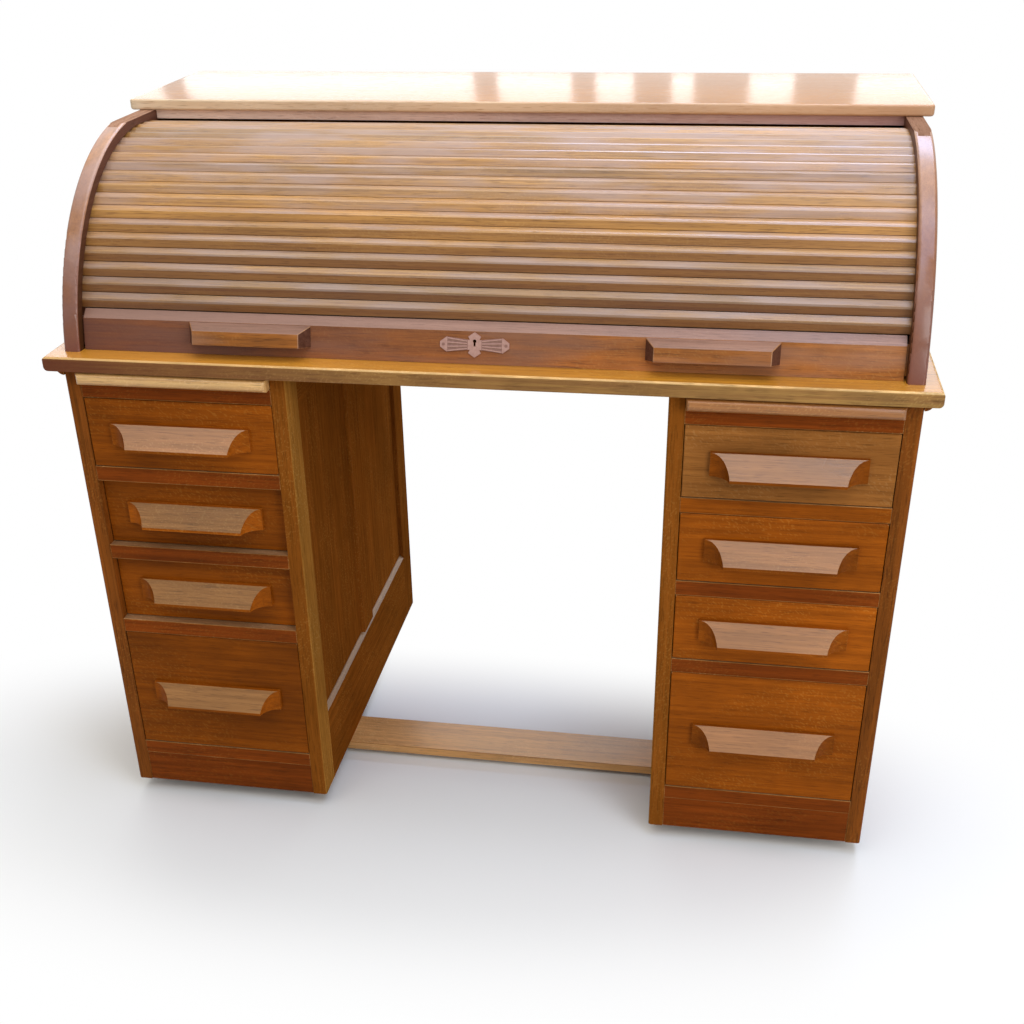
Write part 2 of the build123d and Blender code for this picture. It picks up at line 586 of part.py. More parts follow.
# Escutcheon: a bow tie with ribbed wings round the keyhole, and the two pins that hold it
with BuildPart() as escutcheon:
    with BuildSketch(face_plane(RAIL_FACE_R)):
        right_side = [(SHOULDER_X, SHOULDER_UP), (WAIST_X, WAIST_HALF_H), (WING_X, WING_HALF_H),
                      (PLATE_HALF_L, TIP_HALF_H), (PLATE_HALF_L, -TIP_HALF_H),
                      (WING_X, -WING_HALF_H), (WAIST_X, -WAIST_HALF_H),
                      (SHOULDER_X, -SHOULDER_UP)]
        left_side = [(-x, up) for x, up in reversed(right_side)]
        Polygon((0, PLATE_HALF_H), *right_side, (0, -PLATE_HALF_H), *left_side, align=None)
        with Locations((0, KEYHOLE_UP)):
            Circle(KEYHOLE_R, mode=Mode.SUBTRACT)
        with Locations((0, KEYHOLE_UP - KEYHOLE_SLOT_L / 2)):
            Rectangle(KEYHOLE_SLOT_W, KEYHOLE_SLOT_L, mode=Mode.SUBTRACT)
        with Locations((-PIN_X, 0), (PIN_X, 0)):
            Circle(PIN_R + PIN_PLAY, mode=Mode.SUBTRACT)
    extrude(amount=PLATE_T)
    with BuildSketch(face_plane(RAIL_FACE_R + PLATE_T)):
        for s in (-1, 1):
            for row in (-1, -1 / 3, 1 / 3, 1):
                root = (s * (SHOULDER_X + RIB_W), row * (WAIST_HALF_H - RIB_W))
                tip = (s * (WING_X - RIB_W), row * (WING_HALF_H - RIB_W))
                with BuildLine():
                    rib_line = Line(root, tip)
                trace(rib_line, line_width=RIB_W)
    extrude(amount=RIB_H)
keep("escutcheon", escutcheon.part)

pins = []
for s in (-1, 1):
    with BuildPart() as pin:
        with BuildSketch(face_plane(RAIL_FACE_R + PLATE_T)):
            with Locations((s * PIN_X, 0)):
                Circle(PIN_R)
        extrude(amount=-PIN_L)
        with BuildSketch(face_plane(RAIL_FACE_R + PLATE_T)):
            with Locations((s * PIN_X, 0)):
                Circle(PIN_HEAD_R)
        extrude(amount=PIN_HEAD_T)
    pins.append(pin.part)
keep("escutcheon_pins", *pins)

# Lock behind the lift rail: a case that is open below, and the bolt that drops out of it
lock_r = RAIL_BACK_R - LOCK_T / 2
with BuildPart() as lock_case:
    with BuildSketch(section_plane(RAIL_ANGLE, -LOCK_W / 2)):
        with Locations((0, lock_r)):
            Rectangle(LOCK_H, LOCK_T)
    extrude(amount=LOCK_W)
    with BuildSketch(section_plane(RAIL_ANGLE, -BOLT_W / 2 - BOLT_PLAY)):
        with Locations((BOLT_UP + BOLT_PLAY, lock_r)):
            Rectangle(LOCK_H, BOLT_T + 2 * BOLT_PLAY, align=(Align.MAX, Align.CENTER))
    extrude(amount=BOLT_W + 2 * BOLT_PLAY, mode=Mode.SUBTRACT)
keep("lock_case", lock_case.part)

with BuildPart() as lock_bolt:
    with BuildSketch(section_plane(RAIL_ANGLE, -BOLT_W / 2)):
        with Locations(((BOLT_UP - BOLT_DOWN) / 2, lock_r)):
            Rectangle(BOLT_UP + BOLT_DOWN, BOLT_T)
    extrude(amount=BOLT_W)
keep("lock_bolt", lock_bolt.part)
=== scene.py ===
"""Looks of an oak roll top desk: varnished boards, a slatted curtain and its lock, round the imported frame."""

from __future__ import annotations

import json
import logging
import math
import random
from abc import ABC, abstractmethod
from collections.abc import Callable
from dataclasses import dataclass
from enum import IntEnum, StrEnum
from functools import partial

import bmesh
import bpy
from bmesh.types import BMesh, BMFace, BMVert
from bpy.types import Material, Mesh, Node, NodeSocket, NodeTree, Object
from mathutils import Matrix, Vector

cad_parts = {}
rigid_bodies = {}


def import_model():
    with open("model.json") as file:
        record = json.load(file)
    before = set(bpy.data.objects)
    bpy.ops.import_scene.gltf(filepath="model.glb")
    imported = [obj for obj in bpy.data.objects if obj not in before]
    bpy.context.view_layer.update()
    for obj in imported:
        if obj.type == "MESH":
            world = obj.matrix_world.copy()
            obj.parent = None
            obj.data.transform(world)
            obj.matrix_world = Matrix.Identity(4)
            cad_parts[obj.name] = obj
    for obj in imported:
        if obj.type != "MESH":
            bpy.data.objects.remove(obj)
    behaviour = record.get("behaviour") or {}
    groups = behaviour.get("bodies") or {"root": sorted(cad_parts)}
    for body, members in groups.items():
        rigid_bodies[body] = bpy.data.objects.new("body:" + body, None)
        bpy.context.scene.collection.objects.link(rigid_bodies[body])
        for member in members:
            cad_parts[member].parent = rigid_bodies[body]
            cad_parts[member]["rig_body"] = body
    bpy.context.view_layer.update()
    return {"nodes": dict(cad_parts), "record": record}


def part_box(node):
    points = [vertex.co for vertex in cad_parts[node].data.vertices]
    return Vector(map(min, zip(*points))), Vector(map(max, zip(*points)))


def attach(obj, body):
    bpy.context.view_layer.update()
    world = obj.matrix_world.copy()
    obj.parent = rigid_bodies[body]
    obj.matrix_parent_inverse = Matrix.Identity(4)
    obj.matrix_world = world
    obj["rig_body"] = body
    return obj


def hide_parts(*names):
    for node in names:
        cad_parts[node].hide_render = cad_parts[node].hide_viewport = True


Pair = tuple[float, float]
Triple = tuple[float, float, float]
LOG = logging.getLogger("roll_top_desk")
MM = 0.001
GRAIN = "grain"
TINT = "tint"
DARKENING_SHARE = "darkening_share"
WHITE = "#FFFFFF"
# Length of a face's normal along an axis from which the face lies level, and from which it slopes that way.
LEVEL = 0.97
SLOPING = 0.5
# Distance within which two corners of a node's mesh are one.
WELD = 0.01 * MM
# Angle under which neighbouring faces of a board are one.
FLUSH_DEG = 0.4
# Length of the timber that the boards are sawn from, in metres.
TIMBER = 8


class Side(StrEnum):
    """The two pedestals, as the sitter sees them, by their words in the frame's nodes."""

    LEFT = "left"
    RIGHT = "right"


class Face(IntEnum):
    """Material slots of a finished piece."""

    PLAIN = 0
    EDGE = 1
    FIRST = 2
    SECOND = 3


def linear(hex_colour: str) -> tuple[float, float, float, float]:
    """Turns an sRGB hex colour, a # and six digits, to linear red, green and blue, and an alpha of 1."""
    shares = [int(hex_colour[i:i + 2], 16) / 255 for i in (1, 3, 5)]
    return (*[s / 12.92 if s <= 0.04045 else ((s + 0.055) / 1.055) ** 2.4 for s in shares], 1.0)


def per_mm(*sizes: float) -> tuple[float, ...]:
    """Gives the texture scales, per metre, of features of these sizes in millimetres."""
    return tuple(1 / (size * MM) for size in sizes)


def add_node(tree: NodeTree, kind: str, inputs: dict | None = None, **settings) -> Node:
    """Adds a shader node with its settings and links.

    Args:
        tree: The node tree that gets the node.
        kind: Blender's name for the node's type, without the ShaderNode it starts with.
        inputs: Values, output sockets or nodes, which stand for their first output, by input name or number.
        **settings: The node's own properties.

    Returns:
        The new node.
    """
    node = tree.nodes.new(f"ShaderNode{kind}")
    for name, value in settings.items():
        setattr(node, name, value)
    for key, value in (inputs or {}).items():
        if isinstance(value, Node):
            value = value.outputs[0]
        if isinstance(value, NodeSocket):
            tree.links.new(value, node.inputs[key])
        else:
            node.inputs[key].default_value = value
    return node


def add_object(name: str, data: bpy.types.ID) -> Object:
    """Puts an object with this name and data into the scene."""
    thing = bpy.data.objects.new(name, data)
    bpy.context.scene.collection.objects.link(thing)
    return thing


def new_shape() -> BMesh:
    """Starts a shape whose corners know their place in the grain and their board's tint."""
    shape = bmesh.new()
    shape.verts.layers.float_vector.new(GRAIN)
    shape.verts.layers.float.new(TINT)
    return shape


def corner_key(point: Vector) -> tuple[int, ...]:
    """Gives the same key to corners of a node's mesh that are one."""
    return tuple(round(value / WELD) for value in point)


def add_mesh(name: str, shape: BMesh) -> Object:
    """Puts a shape that is ready into the scene.

    Args:
        name: The object's name.
        shape: The shape, which is used up.

    Returns:
        The object.
    """
    mesh = bpy.data.meshes.new(name)
    shape.to_mesh(mesh)
    shape.free()
    return add_object(name, mesh)


def add_seen(tree: NodeTree) -> Node:
    """Adds the test for a ray that shows the background, straight or in a reflection.

    Args:
        tree: The node tree that gets the test.

    Returns:
        The node that gives 1 for such a ray.
    """
    path = add_node(tree, "LightPath")
    mirrored = add_node(tree, "Math", {
        0: path.outputs["Is Camera Ray"], 1: path.outputs["Is Glossy Ray"]}, operation="MAXIMUM")
    return add_node(tree, "Math", {0: mirrored, 1: path.outputs["Is Transmission Ray"]}, operation="MAXIMUM")


@dataclass(frozen=True)
class Finish(ABC):
    """What a surface is made of.

    Attributes:
        name: The material and how its surface was made.
    """

    name: str

    def material(self) -> Material:
        """Gives the material, made when it is first asked for."""
        made = bpy.data.materials.get(self.name)
        if made is None:
            made = bpy.data.materials.new(self.name)
            made.use_nodes = True
            made.node_tree.nodes.clear()
            add_node(made.node_tree, "OutputMaterial", {"Surface": self._surface(made.node_tree)})
        return made

    @abstractmethod
    def _surface(self, tree: NodeTree) -> Node:
        """Builds the shader in the material's empty node tree and gives its last node."""


@dataclass(frozen=True)
class WoodFinish(Finish):
    """A sawn, planed and varnished wood, with its figure along each board's own grain.

    Attributes:
        early: Colour of the pale spring growth.
        late: Colour of the darker summer growth.
        pore: Colour of the open pores.
        fleck: Colour of the rays that a quarter-sawn face shows.
        flecks: How strongly the flecks show, from 0 to 1.
        darkening: Colour that the wood turns to where its darkening share is high: painted shade on the slats
            and the lift rail, a plain darkening on other pieces.
        bloom: Colour of pale patches: a film of old wax on the slats and the lift rail, a painted reflection on
            the end panels' round edges.
        bloom_share: How strongly the patches show, from 0 to 1.
        roughness: Roughness of the surface where it is smoothest.
        dull: How much rougher its dull patches are.
        shine: Level of its own shine, 0.5 for new varnish and less where it has gone dull.
        coat: Weight of a polish on top.
        coat_roughness: Roughness of the polish.
        spread: How far boards differ in lightness, as a share.
        blotch: How far the uneven stain changes the lightness, as a share.
        ring_mm: Spacing and run of the growth rings.
        pore_mm: Width and run of the pores. They are a tenth of that, and drawn as coarse as shows.
        fleck_mm: Width and run of a ray fleck.
        patch_mm: Size of the patches that have flecks.
        blotch_mm: Size of the uneven stain.
        bloom_mm: Width of the patches.
    """

    early: str
    late: str
    pore: str
    fleck: str
    flecks: float = 0.35
    grime: str = "#4A2A12"
    bloom: str = "#A08880"
    bloom_share: float = 0.0
    roughness: float = 0.34
    dull: float = 0.16
    shine: float = 0.05
    coat: float = 0.0
    coat_roughness: float = 0.2
    spread: float = 0.12
    blotch: float = 0.22
    ring_mm: Pair = (6.0, 260.0)
    pore_mm: Pair = (1.3, 26.0)
    fleck_mm: Pair = (2.4, 15.0)
    patch_mm: float = 75.0
    blotch_mm: float = 150.0
    bloom_mm: float = 26.0

    def _surface(self, tree: NodeTree) -> Node:
        """Builds the shader, with colours in layers from the growth rings up to the darkening, which is painted
        shade on some pieces.
        """
        grain = add_node(tree, "Attribute", attribute_name=GRAIN).outputs["Vector"]
        tint = add_node(tree, "Attribute", attribute_name=TINT).outputs["Fac"]
        slant = add_node(tree, "VectorRotate", {"Vector": grain, "Rotation": (0, 0.62, 0.62)},
                         rotation_type="EULER_XYZ")
        noises, shares = {}, {}
        # Each figure shows from the low value of its noise, and at the high value as strongly as it can.
        for figure, vector, across_mm, along_mm, detail, low, high, most in (
                ("rings", grain, *self.ring_mm, 4, 0.32, 0.68, 1.0),
                ("pores", grain, *self.pore_mm, 1, 0.56, 0.72, 0.55),
                ("flecks", slant, *self.fleck_mm, 0, 0.60, 0.68, self.flecks),
                ("patches", grain, self.patch_mm, self.patch_mm * 2, 1, 0.42, 0.58, 1.0),
                ("bloom", grain, self.bloom_mm, self.bloom_mm * 6, 2, 0.42, 0.62, self.bloom_share),
                ("stain", grain, self.blotch_mm, self.blotch_mm * 1.6, 3, 0.3, 0.7, self.dull)):
            scaled = add_node(tree, "VectorMath", {0: vector, 1: per_mm(along_mm, across_mm, across_mm)},
                              operation="MULTIPLY")
            noises[figure] = add_node(tree, "TexNoise", {
                "Vector": scaled, "Scale": 1.0, "Detail": detail, "Roughness": 0.6})
            shares[figure] = add_node(tree, "MapRange", {
                "Value": noises[figure], "From Min": low, "From Max": high, "To Max": most})
        flecked = add_node(tree, "Math", {0: shares["flecks"], 1: shares["patches"]}, operation="MULTIPLY")
        colour = linear(self.late)
        for share, layer in ((shares["rings"], self.early), (flecked, self.fleck),
                             (shares["pores"], self.pore)):
            colour = add_node(tree, "Mix", {0: share, 6: colour, 7: linear(layer)},
                              data_type="RGBA").outputs[2]
        stain = add_node(tree, "MapRange", {
            "Value": noises["stain"], "From Min": 0.25, "From Max": 0.75,
            "To Min": 1 - self.blotch, "To Max": 1 + self.blotch})
        lightness = add_node(tree, "MapRange", {
            "Value": tint, "To Min": 1 - self.spread, "To Max": 1 + self.spread})
        value = add_node(tree, "Math", {0: stain, 1: lightness}, operation="MULTIPLY")
        undarkened = add_node(tree, "HueSaturation", {"Value": value, "Color": colour})
        # The darkening share: painted shade on the slats and the lift rail, a darkening towards one end or the
        # foot elsewhere.
        darkening_share = add_node(tree, "Attribute", attribute_name=DARKENING_SHARE).outputs["Fac"]
        toned = undarkened
        for share, layer in ((shares["bloom"], self.bloom), (darkening_share, self.grime)):
            toned = add_node(tree, "Mix", {0: share, 6: toned, 7: linear(layer)}, data_type="RGBA").outputs[2]
        rough = add_node(tree, "Math", {0: shares["stain"], 1: self.roughness}, operation="ADD")
        relief = add_node(tree, "Math", {0: shares["rings"], 1: shares["pores"]}, operation="SUBTRACT")
        bump = add_node(tree, "Bump", {"Strength": 0.22, "Distance": 0.3 * MM, "Height": relief})
        return add_node(tree, "BsdfPrincipled", {
            "Base Color": toned, "Roughness": rough, "Normal": bump,
            "Specular IOR Level": self.shine,
            "Coat Weight": self.coat, "Coat Roughness": self.coat_roughness})


@dataclass(frozen=True)
class MetalFinish(Finish):
    """A cast or rolled metal with patina in patches.

    Attributes:
        bright: Colour where hands keep it bare.
        patina: Colour where it has dulled.
        roughness: Roughness of the metal.
        patch_mm: Size of the patina's patches.
        uneven: How far the bare patches and the dull ones are from that roughness.
    """

    bright: str
    patina: str
    roughness: float = 0.4
    patch_mm: float = 4.0
    uneven: Pair = (-0.1, 0.15)

    def _surface(self, tree: NodeTree) -> Node:
        """Builds the shader, dull in patches."""
        place = add_node(tree, "TexCoord").outputs["Object"]
        patches = add_node(tree, "TexNoise", {
            "Vector": place, "Scale": per_mm(self.patch_mm)[0], "Detail": 4.0})
        colour = add_node(tree, "Mix", {0: patches, 6: linear(self.bright), 7: linear(self.patina)},
                          data_type="RGBA").outputs[2]
        rough = add_node(tree, "MapRange", {
            "Value": patches, "To Min": self.roughness + self.uneven[0],
            "To Max": self.roughness + self.uneven[1]})
        bump = add_node(tree, "Bump", {"Strength": 0.15, "Distance": 0.1 * MM, "Height": patches})
        return add_node(tree, "BsdfPrincipled", {
            "Base Color": colour, "Roughness": rough, "Metallic": 1.0, "Normal": bump})


@dataclass(frozen=True)
class ClothFinish(Finish):
    """A plain woven cloth.

    Attributes:
        thread: Colour of the threads' crowns.
        gap: Colour between the threads.
        thread_mm: Spacing of the threads, drawn as coarse as it needs to show.
    """

    thread: str
    gap: str
    thread_mm: float = 2.4

    def _surface(self, tree: NodeTree) -> Node:
        """Builds the shader, with threads that cross."""
        place = add_node(tree, "TexCoord").outputs["Object"]
        crossings = []
        for direction in ("X", "Z"):
            crossings.append(add_node(tree, "TexWave", {
                "Vector": place, "Scale": per_mm(self.thread_mm)[0] / math.tau, "Distortion": 0.6},
                bands_direction=direction).outputs["Fac"])
        weave = add_node(tree, "Math", {0: crossings[0], 1: crossings[1]}, operation="MULTIPLY")
        colour = add_node(tree, "Mix", {0: weave, 6: linear(self.gap), 7: linear(self.thread)},
                          data_type="RGBA").outputs[2]
        bump = add_node(tree, "Bump", {"Strength": 0.4, "Distance": 0.3 * MM, "Height": weave})
        return add_node(tree, "BsdfPrincipled", {"Base Color": colour, "Roughness": 0.9, "Normal": bump})


@dataclass(frozen=True)
class PaperFinish(Finish):
    """A studio's paper floor, white away from what stands on it.

    Attributes:
        paint: Colour of the paper.
        bounce: Colour that it throws back at what stands on it.
        shade_m: How far, along each axis, it keeps the shade.
        shade_offset: Where the shade's middle is, as shares of that.
        white_from: Share of that distance where it starts to turn white.
    """

    paint: str
    bounce: str
    shade_m: Triple = (1.25, 0.5, 1.0)
    shade_offset: Triple = (0.08, 0.6, 0.0)
    white_from: float = 0.45

    def _surface(self, tree: NodeTree) -> Node:
        """Builds the shader, which turns from paper to white with the distance."""
        seen = add_seen(tree)
        place = add_node(tree, "NewGeometry").outputs["Position"]
        reach = add_node(tree, "VectorMath", {
            0: place, 1: tuple(1 / size for size in self.shade_m), 2: self.shade_offset},
            operation="MULTIPLY_ADD")
        away = add_node(tree, "VectorMath", {0: reach}, operation="LENGTH").outputs["Value"]
        share = add_node(tree, "MapRange", {
            "Value": away, "From Min": self.white_from, "From Max": 1.0},
            interpolation_type="SMOOTHSTEP")
        mixed = add_node(tree, "Math", {0: share, 1: seen}, operation="MULTIPLY")
        paint = add_node(tree, "Mix", {0: seen, 6: linear(self.bounce), 7: linear(self.paint)},
                         data_type="RGBA").outputs[2]
        paper = add_node(tree, "BsdfDiffuse", {"Color": paint})
        white = add_node(tree, "Emission", {"Color": linear(WHITE)})
        return add_node(tree, "MixShader", {0: mixed, 1: paper, 2: white})


# Oak, fumed, its varnish gone dull: warm brown with darker rings, dark pores and pale ray flecks.
CASE_OAK = WoodFinish("oak_fumed", "#96521A", "#723E11", "#40200A", "#B87C38", flecks=0.25, grime="#7A4214")
# The same on the front rails and the plinth: darker.
CROSS_OAK = WoodFinish("oak_front_rail", "#8B410F", "#6E3209", "#4A2408", "#A46A2A", flecks=0.18)
# The same on the drawer fronts: redder, with wispy flecks.
FRONT_OAK = WoodFinish("oak_drawer_front", "#A4550F", "#88440A", "#6A3408", "#BA782E", flecks=0.3,
                       spread=0.35, blotch=0.32, blotch_mm=110.0)
# The right pedestal's top drawer front: duller, greyer brown, a painted glare.
GLARE_FRONT_OAK = WoodFinish("oak_faded_front", "#A66A30", "#8A5524", "#623C18", "#B88850", flecks=0.3, spread=0.35,
                       blotch=0.32, blotch_mm=110.0)
# The front stiles' faces towards the kneehole: golden brown, painted light where the light from the front falls
# on them.
LIT_STILE_OAK = WoodFinish("oak_stile_painted_light", "#B87C34", "#966226", "#5E3A12", "#C89850", shine=0.0)
# The kneehole's sides, where the varnish has gone flat: dark brown, without shine.
SHADE_OAK = WoodFinish("oak_kneehole", "#98561C", "#7E4714", "#55300E", "#AC7434", shine=0.0)
# Ledges, with a shine on their varnish: greyish brown, the pale grey tone a painted highlight.
LEDGE_HIGHLIGHT_OAK = WoodFinish("oak_ledge_painted_highlight", "#A88058", "#8A6440", "#5A3C20", "#BC9870", roughness=0.28,
                       shine=0.5, coat=0.35)
# Oak edges worn by hands, where the stain is thin, and painted with a highlight: paler and less red.
EDGE_OAK = WoodFinish("oak_edge_worn_and_highlit", "#B67E45", "#7F4D20", "#4A2810", "#CDA06A", blotch=0.4, blotch_mm=30.0)
# The pulls' sloping faces, polished by fingers: lighter, greyer brown under a soft shine, partly a painted
# sheen.
WORN_AND_SHEEN_OAK = WoodFinish("oak_hand_polished_painted_sheen", "#B27844", "#936134", "#5E3A1E", "#C89864", flecks=0.2,
                      roughness=0.26, shine=0.5, coat=0.3, coat_roughness=0.22, spread=0.08)
# The same on the left pedestal's lower pulls, out of the strongest light: golden brown, with less painted sheen
# and less shine.
DIM_PULL_OAK = WoodFinish("oak_pull_less_painted_sheen", "#A8743E", "#8A5C2C", "#583818", "#C09458", flecks=0.2,
                      roughness=0.3, shine=0.3, coat=0.1)
# The lift pulls' cut ends and the end panels' insides: dark brown, painted shade.
SHADE_END_OAK = WoodFinish("oak_ends_painted_shade", "#6E4838", "#583628", "#3A2218", "#80584A", flecks=0.0)
# The desk top, in the light for years: golden orange.
TOP_OAK = WoodFinish("oak_golden", "#CD8A28", "#B0721F", "#7A4812", "#E0AC54", grime="#C88426", roughness=0.3,
                     shine=0.5, coat=0.7, coat_roughness=0.12)
# The desk top's and the slides' edges: browner than the top.
TOP_EDGE_OAK = WoodFinish("oak_golden_edge", "#AE8444", "#8A6032", "#5C3C16", "#C49A58", grime="#64280A",
                          shine=0.25, blotch=0.35, blotch_mm=60.0)
# The desk top's upper rim, rubbed through the stain by sleeves and painted with a highlight: pale.
TOP_RIM_OAK = WoodFinish("oak_rubbed_rim_painted_highlight", "#E4BC80", "#C89A5C", "#8A6434", "#EED2A0", grime="#D6AA6C",
                         blotch=0.4, blotch_mm=24.0)
# The left slide's nosing, rounded and rubbed: light brown with a shine, lightened as painted light.
LIT_NOSING_OAK = WoodFinish("oak_rubbed_nosing_painted_light", "#CCA265", "#AD7F47", "#664420", "#D4AE7A", roughness=0.3,
                        shine=0.5, coat=0.5, coat_roughness=0.3, spread=0.5)
# The right one, in the desk top's shade: browner.
SHADED_NOSING_OAK = WoodFinish("oak_shaded_nosing", "#A86C32", "#8A5424", "#5C3A18", "#BC8C50", roughness=0.3,
                               shine=0.5, coat=0.3, coat_roughness=0.3)
# The curtain's slats, faded by the light: tan, with grey-brown streaks and a satin shine.
SLAT_OAK = WoodFinish("oak_faded_slats", "#B68442", "#8E6230", "#5A3818", "#C49C5E", flecks=0.15,
                      bloom="#A68E86", bloom_share=0.5, roughness=0.30, shine=0.5, coat=0.35, spread=0.2,
                      ring_mm=(3.5, 320.0))
# Their lower sides: the same with less shine, painted shade.
SLAT_SHADE_OAK = WoodFinish("oak_slats_painted_shade", "#B68442", "#8E6230", "#5A3818", "#C49C5E", flecks=0.15,
                            grime="#602C14", shine=0.4, spread=0.2, ring_mm=(3.5, 320.0))
# The lift rail, handled most: orange brown with dark blotches, and darker towards its left end as painted
# shade.
RAIL_OAK = WoodFinish("oak_lift_rail", "#BC722C", "#935823", "#4C2A10", "#C6924F", flecks=0.2,
                      grime="#5A3834", bloom="#9E765E", bloom_share=0.5, bloom_mm=34.0, blotch=0.34,
                      blotch_mm=90.0, shine=0.2)
# The lift rail's chamfer and its pulls' tops: greyish brown with a shine, the grey-pink tone a painted sheen.
CHAMFER_SHEEN_OAK = WoodFinish("oak_chamfer_painted_sheen", "#9C735E", "#825C48", "#543828", "#AE8A72", flecks=0.15,
                         grime="#8C6654", shine=0.5)
# The end panels' round edges: pinkish brown under a polish, with mauve-grey patches of painted reflection.
ROUND_OAK = WoodFinish("oak_polished_round_painted_reflection", "#C98D53", "#A57340", "#72502C", "#D0A46C", flecks=0.1,
                       grime="#66280A", bloom="#C0A49E", bloom_share=0.5, bloom_mm=60.0, shine=0.5, coat=0.42)
# The end panels' flat tops: pale brown, without shine.
FLAT_TOP_OAK = WoodFinish("oak_dusty_end", "#AE8468", "#906A52", "#664632", "#BC9880", shine=0.0)
# The top board under thick polish: golden brown, so smooth that it mirrors the windows behind.
POLISHED_OAK = WoodFinish("oak_polished_top", "#B5762D", "#A26524", "#80501A", "#BE8844", grime="#AC6E28",
                          roughness=0.07, dull=0.03, shine=0.15)
# The edges under it: pale tan, painted light from the bright windows behind.
PALE_OAK = WoodFinish("oak_pale_painted_light", "#F6DCB8", "#E6C69E", "#9C7048", "#F8E4C8", grime="#B0703A",
                      shine=0.4)
# The fascia in the board's shade: the same pale tone, painted light, redder and darker towards the right.
FASCIA_OAK = WoodFinish("oak_fascia_painted_light", "#F0D4C0", "#DCBAA2", "#8C6450", "#F4DCCA", grime="#945C60",
                        shine=0.3)
# The stretcher, rubbed by feet: light brown with a shine, partly a painted sheen.
RUBBED_OAK = WoodFinish("oak_rubbed_by_feet_painted_sheen", "#D49C5A", "#B48046", "#6C4A20", "#DCB074", shine=0.5, coat=0.5)
# Poplar, planed and left bare inside: pale yellow brown, dusty and dull.
POPLAR = WoodFinish("poplar_planed_bare", "#C6A070", "#A98252", "#7E5E38", "#D2B083", flecks=0.05,
                    roughness=0.75, shine=0.3)
# Cast bronze plate, rubbed bare on its high parts: pinkish brown with a soft shine.
BRONZE = MetalFinish("bronze_cast_worn", "#BC988C", "#9C786C", roughness=0.45)
# The hollows of the same plate, where polish never reaches: duller brown.
BRONZE_HOLLOW = MetalFinish("bronze_cast_patina", "#9A786C", "#7E6056", roughness=0.6)
# Rolled brass of the lock, dulled: brownish yellow.
BRASS = MetalFinish("brass_rolled_dull", "#B08A4A", "#7E5E30", roughness=0.42, patch_mm=9.0)
# Drawn steel of the bolt: grey with fine rust.
STEEL = MetalFinish("steel_drawn", "#9A9690", "#6E6258", roughness=0.38, patch_mm=6.0)
# Cotton canvas glued behind the slats: buff, in a plain weave.
CANVAS = ClothFinish("cotton_canvas", "#A8987C", "#6E6048")
# The studio's paper floor: pale, with the desk's soft shade on it.
PAPER = PaperFinish("paper_floor", "#F4F3EE", "#B8B8B8")


@dataclass(frozen=True)
class Look:
    """How a node is finished.

    Attributes:
        plain: Finish of its faces.
        edge: Finish of its eased edges, which are worn and painted with a highlight unless it says otherwise.
        ease_mm: Width of the eased edges.
        first: Finish of the faces that are picked out first, if any.
        second: Finish of the faces that are picked out second, if any.
        crease_deg: Angle from which an edge counts as sharp.
        ease_deg: Angle from which an edge is eased.
    """

    plain: Finish
    edge: Finish = EDGE_OAK
    ease_mm: float = 0.9
    first: Finish | None = None
    second: Finish | None = None
    crease_deg: float = 34.0
    ease_deg: float = 50.0


CASE_LOOK = Look(CASE_OAK)
CROSS_LOOK = Look(CROSS_OAK, first=LEDGE_HIGHLIGHT_OAK, second=FRONT_OAK)
STILE_LOOK = Look(SHADE_OAK, first=LIT_STILE_OAK, second=LEDGE_HIGHLIGHT_OAK)
SHADE_LOOK = Look(SHADE_OAK)
FRONT_LOOK = Look(FRONT_OAK)
GLARE_FRONT_LOOK = Look(GLARE_FRONT_OAK)
PULL_LOOK = Look(FRONT_OAK, EDGE_OAK, 0.8, WORN_AND_SHEEN_OAK)
DIM_PULL_LOOK = Look(FRONT_OAK, EDGE_OAK, 0.8, DIM_PULL_OAK)
TOP_LOOK = Look(TOP_OAK, TOP_EDGE_OAK, first=TOP_EDGE_OAK, second=TOP_RIM_OAK)
SLAT_LOOK = Look(SLAT_OAK, SLAT_OAK, 0.3, SLAT_SHADE_OAK, crease_deg=20.0)
# The lift rail's eased edges take the pale rim finish: a painted highlight line.
RAIL_LOOK = Look(RAIL_OAK, TOP_RIM_OAK, 0.8, CHAMFER_SHEEN_OAK, crease_deg=25.0, ease_deg=25.0)
LIFT_PULL_LOOK = Look(RAIL_OAK, WORN_AND_SHEEN_OAK, 0.8, CHAMFER_SHEEN_OAK, SHADE_END_OAK)
END_LOOK = Look(CASE_OAK, FLAT_TOP_OAK, first=ROUND_OAK, second=SHADE_END_OAK)
POLISHED_LOOK = Look(POLISHED_OAK, PALE_OAK, 1.6, PALE_OAK)
FASCIA_LOOK = Look(FASCIA_OAK, FASCIA_OAK)
RUBBED_LOOK = Look(RUBBED_OAK)
INSIDE_LOOK = Look(POPLAR, POPLAR, 0.6)
# Lightness and look of each drawer front and the look of its pull, from the top down. The lightness is partly
# the boards' own and partly painted light: lower on the left pedestal, higher on the right, where the light
# comes from.
DRAWERS = {
    Side.LEFT: ((0.5, FRONT_LOOK, PULL_LOOK), (0.12, FRONT_LOOK, DIM_PULL_LOOK), (0.45, FRONT_LOOK, DIM_PULL_LOOK),
                (0.1, FRONT_LOOK, DIM_PULL_LOOK)),
    Side.RIGHT: ((0.5, GLARE_FRONT_LOOK, PULL_LOOK), (0.6, FRONT_LOOK, PULL_LOOK), (0.7, FRONT_LOOK, PULL_LOOK),
                 (0.6, FRONT_LOOK, PULL_LOOK))}
# Lightness and look of each slide's nosing: the left one lightened as painted light, the right one the
# painted-shade copy.
NOSINGS = {Side.LEFT: (1.0, Look(LIT_NOSING_OAK, LIT_NOSING_OAK)),
           Side.RIGHT: (0.5, Look(SHADED_NOSING_OAK, SHADED_NOSING_OAK))}
# Lightness of each pedestal's front rails, or none to let them differ.
RAIL_TINTS = {Side.LEFT: None, Side.RIGHT: 0.65}


